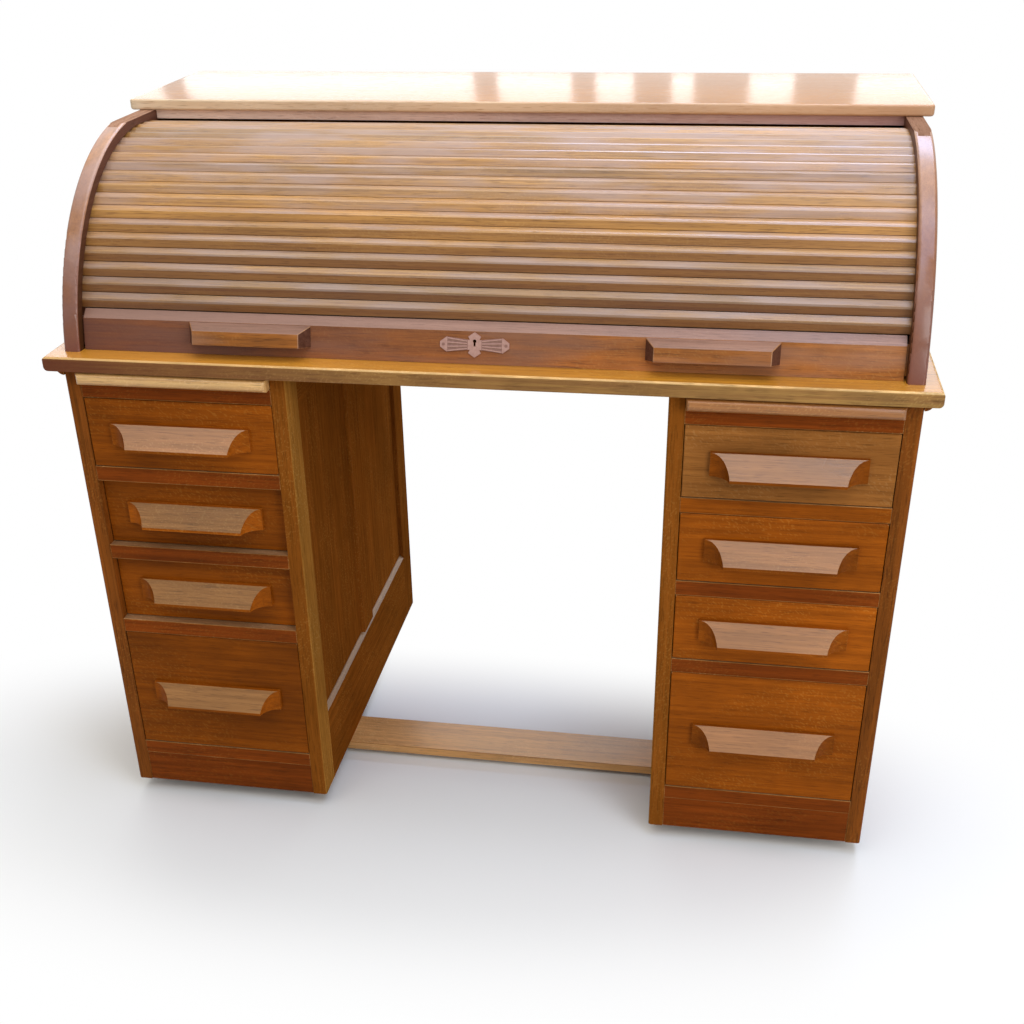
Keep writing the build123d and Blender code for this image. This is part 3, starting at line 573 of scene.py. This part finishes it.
@dataclass
class Workshop:
    """Turns the frame's nodes into finished pieces that ride on the same bodies.

    Attributes:
        nodes: The frame's nodes by name.
        slots: The record's material slot of each node. Not used.
    """

    nodes: dict[str, Object]
    slots: dict[str, str]

    def finish(self, node: str, look: Look, pick: Callable[[BMFace], Face] | None = None,
               cuts: tuple[float, ...] = (), tint: float | None = None) -> Object:
        """Makes the finished piece of a node, with eased edges and each board's own grain.

        Args:
            node: The frame node that the piece stands for.
            look: Its finishes.
            pick: Says which of the look's finishes a face takes.
            cuts: X values, in metres, where its faces are divided first.
            tint: Lightness of its boards from 0 to 1, or none to let them differ.

        Returns:
            The piece.
        """
        rng = random.Random(node)
        shape = new_shape()
        shape.verts.layers.float.new(DARKENING_SHARE)
        for solid in self._solids(self.nodes[node].data):
            self._add_board(shape, solid, rng, tint)
        for x in cuts:
            everything = shape.verts[:] + shape.edges[:] + shape.faces[:]
            bmesh.ops.bisect_plane(shape, geom=everything, plane_co=(x, 0, 0), plane_no=(1, 0, 0))
        crease = math.radians(look.crease_deg)
        for edge in shape.edges:
            edge.smooth = edge.calc_face_angle(math.pi) < crease
        for face in shape.faces:
            face.smooth = True
            if pick:
                face.material_index = pick(face)
        piece = add_mesh(f"{node}_finished", shape)
        for finish in filter(None, (look.plain, look.edge, look.first, look.second)):
            piece.data.materials.append(finish.material())
        ease = piece.modifiers.new("eased_edges", "BEVEL")
        ease.width = look.ease_mm * MM
        ease.segments = 2
        ease.limit_method = "ANGLE"
        ease.angle_limit = math.radians(look.ease_deg)
        ease.harden_normals = True
        ease.material = Face.EDGE
        self.ride_like(piece, node)
        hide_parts(node)
        return piece

    @staticmethod
    def fade(piece: Object, left: float = 0.0, right: float = 0.0, power: float = 1.0) -> None:
        """Darkens a long piece, more towards one end.

        Args:
            piece: The finished piece.
            left: Share of the wood that the darkening hides at the left end.
            right: The same at the right end.
            power: How fast the darkening thins out from an end: evenly at 1, sooner above it.
        """
        along = [vertex.co.x for vertex in piece.data.vertices]
        low, high = min(along), max(along)
        for vertex in piece.data.vertices:
            share = (vertex.co.x - low) / (high - low)
            grime = left * (1 - share) ** power + right * share ** power
            piece.data.attributes[DARKENING_SHARE].data[vertex.index].value = grime

    def ride_like(self, piece: Object, node: str) -> None:
        """Lets a piece ride on a node's body."""
        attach(piece, self.nodes[node]["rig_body"])

    @staticmethod
    def _solids(mesh: Mesh) -> list[list[list[Vector]]]:
        """Splits a node's mesh into its closed solids, which follow one another in it.

        Args:
            mesh: The node's mesh, where every face has vertices of its own.

        Returns:
            Each solid's faces, as lists of points.
        """
        solids, faces, lone_edges = [], [], set()
        for polygon in mesh.polygons:
            points = [mesh.vertices[i].co.copy() for i in polygon.vertices]
            keys = [corner_key(point) for point in points]
            for edge in zip(keys, keys[1:] + keys[:1]):
                twin = edge[::-1]
                if twin in lone_edges:
                    lone_edges.remove(twin)
                else:
                    lone_edges.add(edge)
            faces.append(points)
            if not lone_edges:
                solids.append(faces)
                faces = []
        return solids

    @staticmethod
    def _add_board(target: BMesh, faces: list[list[Vector]], rng: random.Random,
                   lightness: float | None) -> None:
        """Adds a solid as one board, with its grain along its longest side.

        Args:
            target: The mesh that gets the board.
            faces: The solid's faces.
            rng: Where the board's tint and the place it was sawn from come from.
            lightness: The board's tint, if it is known.
        """
        grain = target.verts.layers.float_vector[GRAIN]
        tint = target.verts.layers.float[TINT]
        points = [point for face in faces for point in face]
        spans = [max(p[i] for p in points) - min(p[i] for p in points) for i in range(3)]
        order = sorted(range(3), key=lambda i: -spans[i])
        sawn_at = Vector(rng.uniform(0, TIMBER) for _ in range(3))
        board_tint = rng.random() if lightness is None else lightness
        corners: dict[tuple[int, ...], BMVert] = {}
        made = []
        for face in faces:
            loop = []
            for point in face:
                key = corner_key(point)
                if key not in corners:
                    corner = target.verts.new(point)
                    corner[grain] = Vector(point[i] for i in order) + sawn_at
                    corner[tint] = board_tint
                    corners[key] = corner
                loop.append(corners[key])
            if len(set(loop)) > 2:
                made.append(target.faces.new(loop))
        bmesh.ops.dissolve_limit(target, angle_limit=math.radians(FLUSH_DEG), verts=list(corners.values()),
                                 edges=list({edge for face in made for edge in face.edges}))


@dataclass
class Pedestal:
    """One pedestal's framed case.

    Attributes:
        side: Which pedestal it is.
        stile_mm: How far back the painted-light part of the front stile goes.
        sideways: Length of a normal along X from which a face looks sideways.
    """

    side: Side
    stile_mm: float = 48.0
    sideways: float = 0.7

    def build(self, shop: Workshop) -> None:
        """Finishes the framed sides, panels, front rails, runners and back."""
        shop.finish(f"{self.side}_outer_side_frame", CASE_LOOK)
        shop.finish(f"{self.side}_front_rails", CROSS_LOOK, self._rail_face, tint=RAIL_TINTS[self.side])
        shop.finish(f"{self.side}_side_panels", SHADE_LOOK)
        shop.finish(f"{self.side}_inner_side_frame", STILE_LOOK, self._inner_face)
        for node in ("drawer_runners", "case_back"):
            shop.finish(f"{self.side}_{node}", INSIDE_LOOK)

    def _rail_face(self, face: BMFace) -> Face:
        """Tells the finish of a face of the front rails.

        Args:
            face: One of the rails' faces.

        Returns:
            The ledge's finish for what lies flat, the fronts' for the right rail under the top drawer,
            or the plain one.
        """
        if face.normal.z > LEVEL:
            return Face.FIRST
        low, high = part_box("right_drawer_2_front")[1].z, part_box("right_drawer_1_front")[0].z
        between = low < face.calc_center_median().z < high
        return Face.SECOND if between and self.side is Side.RIGHT else Face.PLAIN

    def _inner_face(self, face: BMFace) -> Face:
        """Tells the finish of a face of the frame towards the kneehole.

        Args:
            face: One of the frame's faces.

        Returns:
            The painted-light finish for the front stile, the ledge's painted highlight for what lies flat, or
            the plain one.
        """
        if face.normal.z > SLOPING:
            return Face.SECOND
        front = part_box(f"{self.side}_inner_side_frame")[0].y
        at_front = face.calc_center_median().y < front + self.stile_mm * MM
        return Face.FIRST if abs(face.normal.x) > self.sideways and at_front else Face.PLAIN


@dataclass
class Drawer:
    """One drawer: its oak front, poplar box, dovetails and pull.

    Attributes:
        side: The pedestal that it is in.
        number: Its place from the top.
        tint: Lightness of its front from 0 to 1.
        front: How its front is finished.
        pull: How its pull is finished.
        pin_wide_mm: Width of a dovetail pin at its root.
        pin_narrow_mm: Width of a pin at the drawer's front.
        pin_run_mm: Length of a pin along the drawer's side.
        pin_step_mm: Usual distance between pins.
        pin_depth_mm: How far a pin goes into the side and stands out of it.
        fewest_pins: How many pins there are at least.
    """

    side: Side
    number: int
    tint: float
    front: Look
    pull: Look
    pin_wide_mm: float = 9.0
    pin_narrow_mm: float = 5.5
    pin_run_mm: float = 13.0
    pin_step_mm: float = 30.0
    pin_depth_mm: Pair = (-1.0, 0.15)
    fewest_pins: int = 3

    @property
    def name(self) -> str:
        """The drawer's body in the frame."""
        return f"{self.side}_drawer_{self.number}"

    def build(self, shop: Workshop) -> None:
        """Finishes the drawer's pieces."""
        shop.finish(f"{self.name}_front", self.front, tint=self.tint)
        shop.finish(f"{self.name}_box", INSIDE_LOOK)
        shop.finish(f"{self.name}_pull", self.pull, self._pull_face)
        self._dovetails(shop)

    @staticmethod
    def _pull_face(face: BMFace) -> Face:
        """Gives a pull's sloping face the finish that fingers leave, partly a painted sheen."""
        return Face.FIRST if min(-face.normal.y, face.normal.z) > SLOPING else Face.PLAIN

    def _dovetails(self, shop: Workshop) -> None:
        """Lets the front's dovetail pins into both sides of the box."""
        low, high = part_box(f"{self.name}_box")
        count = max(self.fewest_pins, round((high.z - low.z) / (self.pin_step_mm * MM)))
        step = (high.z - low.z) / count
        pins = new_shape()
        for outer_x, outward in ((low.x, -1), (high.x, 1)):
            for number in range(count):
                centre = low.z + (number + 0.5) * step
                profile = [(low.y, -self.pin_narrow_mm / 2), (low.y, self.pin_narrow_mm / 2),
                           (low.y + self.pin_run_mm * MM, self.pin_wide_mm / 2),
                           (low.y + self.pin_run_mm * MM, -self.pin_wide_mm / 2)]
                rings = [[pins.verts.new((outer_x + outward * depth * MM, y, centre + up * MM))
                          for y, up in profile] for depth in self.pin_depth_mm]
                for ring in rings:
                    pins.faces.new(ring)
                for i in range(4):
                    pins.faces.new((rings[0][i], rings[0][i - 1], rings[1][i - 1], rings[1][i]))
        for corner in pins.verts:
            corner[pins.verts.layers.float_vector[GRAIN]] = corner.co
        bmesh.ops.recalc_face_normals(pins, faces=pins.faces)
        piece = add_mesh(f"{self.name}_dovetail_pins", pins)
        piece.data.materials.append(FRONT_OAK.material())
        shop.ride_like(piece, f"{self.name}_front")


@dataclass
class WritingSlide:
    """A pull-out board over one pedestal.

    Attributes:
        side: The pedestal that it is over.
    """

    side: Side

    def build(self, shop: Workshop) -> None:
        """Finishes the board and its rounded nosing."""
        shop.finish(f"{self.side}_slide_board", TOP_LOOK)
        tint, look = NOSINGS[self.side]
        shop.finish(f"{self.side}_slide_nosing", look, tint=tint)


@dataclass
class DeskTop:
    """The desk top, what hangs under it and what the pedestals stand on.

    Attributes:
        grime_left: Share of the top's front edge that is darkened at its left end.
        grime_power: How fast that darkening thins out towards the right.
        cuts: X values, in metres, where the top is divided so that the darkening can thin out.
    """

    grime_left: float = 0.9
    grime_power: float = 2.0
    cuts: tuple[float, ...] = (-0.4, -0.2, 0.0, 0.25)

    def build(self, shop: Workshop) -> None:
        """Finishes the top, its mouldings, the stretcher and the feet."""
        top = shop.finish("desk_top", TOP_LOOK, self._top_face, self.cuts)
        shop.fade(top, left=self.grime_left, power=self.grime_power)
        shop.finish("stretcher", RUBBED_LOOK)
        for node in ("top_mouldings", "feet"):
            shop.finish(node, CASE_LOOK)

    @staticmethod
    def _top_face(face: BMFace) -> Face:
        """Gives the desk top's sides the finish of an edge and its upper rim that of rubbed wood with a painted
        highlight.
        """
        if face.normal.z > LEVEL:
            return Face.PLAIN
        return Face.SECOND if face.normal.z > SLOPING else Face.FIRST


@dataclass
class RollCase:
    """The fixed case of the roll: end panels, top board, fascia and back.

    Attributes:
        grime_below: Share of the end panels' wood that is darkened at their foot.
        grime_above: The same at the top of the right one. The left one is not darkened there.
        grime_power: How the share grows downwards: below 1 it grows fastest near the top.
        grime_right: Share of the top board's and the fascia's wood that is darkened at their right end.
        sideways: Length of a normal along X from which a face is one of an end panel's sides.
    """

    grime_below: float = 0.95
    grime_above: float = 0.38
    grime_power: float = 0.6
    grime_right: float = 0.7
    sideways: float = 0.9

    def build(self, shop: Workshop) -> None:
        """Finishes the case's boards."""
        for side in Side:
            inward = 1 if side is Side.LEFT else -1
            panel = shop.finish(f"{side}_end_panel", END_LOOK, partial(self._end_face, inward))
            self._soil(panel, self.grime_above if side is Side.RIGHT else 0.0)
        board = shop.finish("top_board", POLISHED_LOOK,
                            lambda face: Face.PLAIN if face.normal.z > LEVEL else Face.FIRST)
        shop.fade(board, right=self.grime_right)
        shop.fade(shop.finish("fascia", FASCIA_LOOK), right=self.grime_right)
        shop.finish("roll_back", CASE_LOOK)

    def _soil(self, panel: Object, above: float) -> None:
        """Darkens an end panel, more towards its foot.

        Args:
            panel: The finished panel.
            above: Share of the wood that is darkened at its top.
        """
        low, high = (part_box("left_end_panel")[i].z for i in (0, 1))
        for vertex in panel.data.vertices:
            down = ((high - vertex.co.z) / (high - low)) ** self.grime_power
            share = above + (self.grime_below - above) * down
            panel.data.attributes[DARKENING_SHARE].data[vertex.index].value = share

    def _end_face(self, inward: int, face: BMFace) -> Face:
        """Tells the finish of a face of an end panel.

        Args:
            inward: The sign of X towards the desk's middle.
            face: One of the panel's faces.

        Returns:
            The pale finish for its flat top, the polish for its round edge, the painted shade for its inside,
            or the plain one.
        """
        if face.normal.z > LEVEL:
            return Face.EDGE
        if abs(face.normal.x) < self.sideways:
            return Face.FIRST if face.normal.y < SLOPING else Face.PLAIN
        return Face.SECOND if face.normal.x * inward > 0 else Face.PLAIN


@dataclass
class Tambour:
    """The curtain: slats on canvas, the lift rail and its two pulls.

    Attributes:
        centre_mm: Y and Z of the groove's centre, which the slats lie round.
        soiled_deg: Angle from the level up to which painted shade lies on the slats' lower sides.
        clean_deg: Angle from which they carry none.
        lean: How far a corner's normal leans down, from 0 to 1, where it belongs to a lower side.
        darkening: How much of the wood the painted shade hides on the lower sides.
        upper_grime: The same on the upper sides.
        chamfer: Length of a normal along Z from which a face belongs to the lift rail's chamfer.
        rail_grime: Share of the lift rail's wood that painted shade hides at its left end.
        pull_grime: Share of the wood that is darkened at the right lift pull.
        pull_tint: Lightness of the lift pulls from 0 to 1.
    """

    centre_mm: Pair = (-4.5, 722.0)
    soiled_deg: float = 33.0
    clean_deg: float = 48.0
    lean: float = 0.12
    grime: float = 0.56
    upper_grime: float = 0.22
    chamfer: float = 0.4
    rail_grime: float = 0.82
    pull_grime: float = 0.2
    pull_tint: float = 0.1

    def build(self, shop: Workshop) -> None:
        """Finishes the curtain's pieces."""
        self._soil(shop.finish("tambour_slats", SLAT_LOOK, self._slat_face))
        shop.finish("tambour_canvas", Look(CANVAS, CANVAS, 0.1))
        rail = shop.finish("lift_rail", RAIL_LOOK,
                           lambda face: Face.FIRST if face.normal.z > self.chamfer else Face.PLAIN)
        # Painted shade: the rail darker towards its left end, away from the light.
        shop.fade(rail, left=self.rail_grime)
        pulls = shop.finish("lift_pulls", LIFT_PULL_LOOK, self._lift_pull_face, tint=self.pull_tint)
        shop.fade(pulls, right=self.pull_grime)

    @staticmethod
    def _lift_pull_face(face: BMFace) -> Face:
        """Gives a lift pull's top the chamfer's finish with its painted sheen and its ends the painted shade.
        """
        if face.normal.z > SLOPING:
            return Face.FIRST
        return Face.SECOND if abs(face.normal.x) > SLOPING else Face.PLAIN

    def _around(self, place: Vector) -> tuple[float, Vector]:
        """Gives the angle of a place on the curtain, in degrees from the level, and the way down from it."""
        out = Vector((0, place.y - self.centre_mm[0] * MM, place.z - self.centre_mm[1] * MM))
        return math.degrees(math.atan2(out.z, -out.y)), Vector((0, -out.z, out.y)).normalized()

    def _slat_face(self, face: BMFace) -> Face:
        """Gives the lower sides of the slats that stand upright the finish with less shine, as painted shade.
        """
        angle, down = self._around(face.calc_center_median())
        return Face.FIRST if angle < self.clean_deg and face.normal.dot(down) > self.lean else Face.PLAIN

    def _soil(self, slats: Object) -> None:
        """Paints shade on each slat, most on its lower side, where the curtain stands upright.

        Args:
            slats: The finished slats.
        """
        darkening_share = slats.data.attributes[DARKENING_SHARE].data
        for vertex in slats.data.vertices:
            angle, down = self._around(vertex.co)
            share = (self.clean_deg - angle) / (self.clean_deg - self.soiled_deg)
            most = self.grime if vertex.normal.dot(down) > self.lean else self.upper_grime
            darkening_share[vertex.index].value = most * min(max(share, 0.0), 1.0)


@dataclass
class Lock:
    """The lock in the lift rail, its escutcheon and the strike plate.

    Attributes:
        hollow_from_mm: Where the wings' ribs start, from the middle.
        hollow_to_mm: Where the wings' ribs end.
        rib_level_mm: Depth under the ribs' tops from which a face is a hollow.
    """

    hollow_from_mm: float = 9.5
    hollow_to_mm: float = 37.5
    rib_level_mm: float = 0.5

    def build(self, shop: Workshop) -> None:
        """Finishes the metal pieces."""
        cuts = tuple(s * x * MM for s in (-1, 1) for x in (self.hollow_from_mm, self.hollow_to_mm))
        outward = self._outward(shop)
        top = max(vertex.co.dot(outward) for vertex in shop.nodes["escutcheon"].data.vertices)

        def in_hollow(face: BMFace) -> Face:
            """Gives the plate's surface between the ribs the finish of a hollow."""
            middle = face.calc_center_median()
            between = self.hollow_from_mm * MM < abs(middle.x) < self.hollow_to_mm * MM
            sunk = middle.dot(outward) < top - self.rib_level_mm * MM
            return Face.FIRST if between and sunk else Face.PLAIN

        shop.finish("escutcheon", Look(BRONZE, BRONZE, 0.25, BRONZE_HOLLOW), in_hollow, cuts)
        shop.finish("escutcheon_pins", Look(BRONZE_HOLLOW, BRONZE_HOLLOW, 0.2))
        for node in ("lock_case", "strike_plate"):
            shop.finish(node, Look(BRASS, BRASS, 0.5))
        shop.finish("lock_bolt", Look(STEEL, STEEL, 0.5))

    @staticmethod
    def _outward(shop: Workshop) -> Vector:
        """Finds the way the escutcheon faces, from its largest face.

        Args:
            shop: Where the frame's nodes are.

        Returns:
            The face's normal, towards the sitter.
        """
        faces = shop.nodes["escutcheon"].data.polygons
        normal = max(faces, key=lambda face: face.area).normal.copy()
        return normal if normal.y < 0 else -normal


@dataclass
class Pigeonholes:
    """The fittings inside the roll."""

    def build(self, shop: Workshop) -> None:
        """Finishes the case and its dividers."""
        shop.finish("pigeonhole_case", CASE_LOOK)
        shop.finish("pigeonhole_dividers", CASE_LOOK)


@dataclass(frozen=True)
class Lamp:
    """A soft rectangular lamp.

    Attributes:
        name: What it stands for.
        place: Where it is, in metres.
        aim: What it points at.
        size: Its width and height in metres.
        watts: Its power.
        colour: Its colour.
    """

    name: str
    place: Triple
    aim: Triple
    size: Pair
    watts: float
    colour: str = WHITE

    def build(self) -> None:
        """Puts the lamp into the scene, unseen by the camera itself."""
        light = bpy.data.lights.new(self.name, "AREA")
        light.shape = "RECTANGLE"
        light.size, light.size_y = self.size
        light.energy = self.watts
        light.color = linear(self.colour)[:3]
        lamp = add_object(self.name, light)
        lamp.location = self.place
        lamp.rotation_euler = (Vector(self.aim) - Vector(self.place)).to_track_quat("-Z", "Y").to_euler()
        lamp.visible_camera = False


LAMPS = (
    Lamp("ceiling", (0.0, 0.3, 3.4), (0.0, 0.0, 0.8), (3.2, 2.4), 54.0),
    Lamp("front", (-0.2, -2.2, 3.2), (0.0, 0.0, 0.5), (3.6, 1.0), 24.0),
    Lamp("right", (2.0, -2.2, 1.5), (0.3, -0.3, 0.4), (1.2, 1.6), 26.0),
    Lamp("overhead_right", (0.85, -0.9, 2.9), (0.6, -0.2, 0.8), (0.8, 1.6), 17.0, "#B0CCFF"),
    Lamp("skylight", (0.5, 1.7, 2.9), (0.2, 0.0, 0.9), (1.7, 0.8), 42.0, "#C0D4FF"))


@dataclass
class Studio:
    """The pale floor, the soft light and the camera.

    Attributes:
        floor_m: Half the floor's width.
        ambient: Strength of the light from all round.
        window_y: Where the row of tall windows stands behind the desk.
        window_z: Lower and upper end of the windows.
        window_x: Left and right end of each window.
        window_watts_per_m2: Power of the windows for their area.
        camera_place: Where the camera stands.
        camera_deg: How far it is turned to the left, up and round.
        lens_mm: Focal length of its lens.
        lens_shift: How far the lens is shifted along X and Y, as shares of the picture's width.
    """

    floor_m: float = 40.0
    ambient: float = 0.42
    window_y: float = 3.2
    window_z: Pair = (1.25, 2.3)
    window_x: tuple[Pair, ...] = (
        (-3.4, -1.9), (-1.8, -0.65), (-0.56, -0.28), (-0.19, -0.05), (0.09, 0.17), (0.37, 0.53),
        (0.75, 1.3))
    window_watts_per_m2: float = 5.0
    camera_place: Triple = (0.3255, -1.987, 1.3712)
    camera_deg: Triple = (10.32, -29.43, -1.29)
    lens_mm: float = 46.4
    lens_shift: Pair = (0.0178, 0.0834)

    def build(self) -> None:
        """Sets the stage."""
        self._floor()
        self._world()
        self._lamps()
        self._camera()
        bpy.context.scene.view_settings.view_transform = "Standard"

    def _floor(self) -> None:
        """Lays a pale floor that is white away from the desk."""
        sheet = bmesh.new()
        bmesh.ops.create_grid(sheet, x_segments=4, y_segments=4, size=self.floor_m)
        floor = add_mesh("studio_floor", sheet)
        floor.data.materials.append(PAPER.material())

    def _world(self) -> None:
        """Makes a white background that lights the desk evenly and softly."""
        world = bpy.data.worlds.new("studio_white")
        bpy.context.scene.world = world
        world.use_nodes = True
        tree = world.node_tree
        tree.nodes.clear()
        strength = add_node(tree, "MapRange", {
            "Value": add_seen(tree), "To Min": self.ambient, "To Max": 1.0})
        sky = add_node(tree, "Background", {"Color": linear(WHITE), "Strength": strength})
        add_node(tree, "OutputWorld", {"Surface": sky})

    def _lamps(self) -> None:
        """Hangs the lamps and the row of windows behind."""
        for lamp in LAMPS:
            lamp.build()
        height = self.window_z[1] - self.window_z[0]
        for number, (left, right) in enumerate(self.window_x):
            middle = Vector(((left + right) / 2, self.window_y, sum(self.window_z) / 2))
            Lamp(f"window_{number}", tuple(middle), tuple(middle - Vector((0, 1, 0))), (right - left, height),
                 self.window_watts_per_m2 * (right - left) * height).build()

    def _camera(self) -> None:
        """Stands the camera where the photograph was taken from: a step away, to the right, looking down."""
        yaw, pitch, roll = (math.radians(angle) for angle in self.camera_deg)
        ahead = Vector((-math.sin(yaw) * math.cos(pitch), math.cos(yaw) * math.cos(pitch), math.sin(pitch)))
        level = Vector((math.cos(yaw), math.sin(yaw), 0))
        up = level.cross(ahead)
        right_side = level * math.cos(roll) + up * math.sin(roll)
        top_side = up * math.cos(roll) - level * math.sin(roll)
        data = bpy.data.cameras.new("photo_camera")
        data.lens = self.lens_mm
        data.shift_x, data.shift_y = self.lens_shift
        camera = add_object("photo_camera", data)
        camera.matrix_world = Matrix.Translation(self.camera_place) @ Matrix(
            (right_side, top_side, -ahead)).transposed().to_4x4()
        bpy.context.scene.camera = camera


def main() -> None:
    """Loads the frame, finishes each sub-assembly and sets the studio round it."""
    logging.basicConfig(level=logging.INFO, format="%(name)s: %(message)s")
    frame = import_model()
    slots = {part["node"]: part["material_slot"] for part in frame["record"]["subparts"]}
    shop = Workshop(frame["nodes"], slots)
    for side in Side:
        Pedestal(side).build(shop)
        WritingSlide(side).build(shop)
        for number, (tint, front, pull) in enumerate(DRAWERS[side], 1):
            Drawer(side, number, tint, front, pull).build(shop)
    for assembly in (DeskTop(), RollCase(), Tambour(), Lock(), Pigeonholes()):
        assembly.build(shop)
    Studio().build()


if __name__ == "__main__":
    main()
